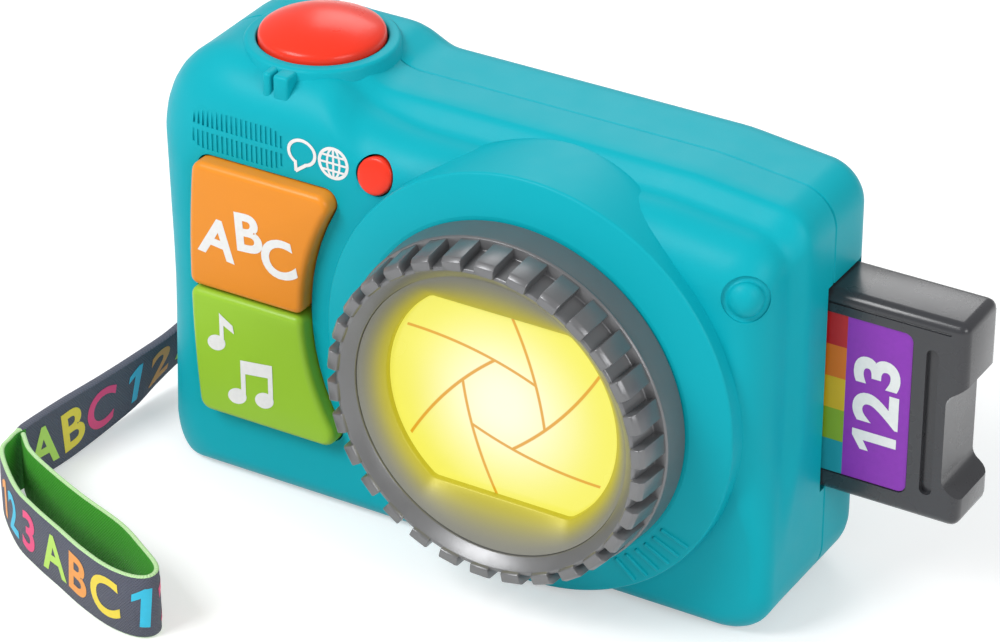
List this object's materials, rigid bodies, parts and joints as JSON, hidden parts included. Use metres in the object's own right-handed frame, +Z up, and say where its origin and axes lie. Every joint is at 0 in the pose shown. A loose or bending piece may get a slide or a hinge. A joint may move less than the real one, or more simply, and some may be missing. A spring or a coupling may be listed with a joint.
{
  "type": "toy camera",
  "caption": "Chunky toddler's toy camera with a toothed lens ring round a lit window, a domed shutter button, big front buttons, a picture card that slides from its side and a wrist strap.",
  "frame": {"origin": "middle of the flat base of the body, halfway across its width and depth", "axes": "+X to the right as seen from the front, the lens looks along -Y, +Z is up"},
  "size_m": [0.2107, 0.1139, 0.1124],
  "materials": {
    "teal_plastic": "satin moulded, through-coloured",
    "red_plastic": "gloss moulded",
    "orange_plastic": "satin moulded",
    "green_plastic": "satin moulded",
    "grey_plastic": "satin moulded",
    "frosted_plastic": "frosted translucent",
    "window_plastic": "translucent, lit from behind",
    "led_resin": "clear resin",
    "circuit_board": "solder mask",
    "black_plastic": "matt moulded",
    "dark_plastic": "satin moulded",
    "pale_plastic": "matt moulded",
    "printed_film": "printed gloss film",
    "cell_metal": "printed metal sleeve",
    "screw_steel": "zinc plated",
    "strap_webbing": "woven and printed"
  },
  "bodies": {
    "body": {"front_shell": "teal_plastic", "back_shell": "teal_plastic", "lens_bezel": "frosted_plastic", "lens_window": "window_plastic", "bezel_screws": "screw_steel", "light_board": "circuit_board", "lens_leds": "led_resin", "shutter_spring": "screw_steel", "main_board": "circuit_board", "board_screws": "screw_steel", "key_switches": "black_plastic", "speaker": "black_plastic", "battery_box": "black_plastic", "battery_cells": "cell_metal", "battery_contacts": "screw_steel", "battery_door": "teal_plastic", "door_screw": "screw_steel", "shell_screws": "screw_steel", "card_guide": "pale_plastic", "switch_body": "black_plastic", "strap_bar": "screw_steel", "strap_lead": "strap_webbing", "strap_loop": "strap_webbing"},
    "ring": {"lens_ring": "grey_plastic"},
    "shutter": {"shutter_button": "red_plastic"},
    "letters": {"letters_button": "orange_plastic"},
    "music": {"music_button": "green_plastic"},
    "language": {"language_button": "red_plastic"},
    "card": {"card_frame": "dark_plastic", "card_label": "printed_film"},
    "power": {"power_switch": "orange_plastic"}
  },
  "joints": [
    {"name": "lens_ring_turn", "type": "hinge", "parent": "body", "child": "ring", "pos_m": [0.022, -0.037, 0.0512], "axis": [0, 1, 0], "continuous": true},
    {"name": "shutter_press", "type": "slide", "parent": "body", "child": "shutter", "axis": [0, 0, -1], "range_m": [0, 0.004], "stiffness_N_per_m": 600, "springref_m": -0.003, "deforming": ["shutter_spring"]},
    {"name": "letters_press", "type": "slide", "parent": "body", "child": "letters", "axis": [0, 1, 0], "range_m": [0, 0.002], "stiffness_N_per_m": 500, "springref_m": -0.002},
    {"name": "music_press", "type": "slide", "parent": "body", "child": "music", "axis": [0, 1, 0], "range_m": [0, 0.002], "stiffness_N_per_m": 500, "springref_m": -0.002},
    {"name": "language_press", "type": "slide", "parent": "body", "child": "language", "axis": [0, 1, 0], "range_m": [0, 0.002], "stiffness_N_per_m": 500, "springref_m": -0.002},
    {"name": "card_slide", "type": "slide", "parent": "body", "child": "card", "axis": [1, 0, 0], "range_m": [-0.032, 0]},
    {"name": "power_slide", "type": "slide", "parent": "body", "child": "power", "axis": [1, 0, 0], "range_m": [-0.004, 0.004]}
  ]
}
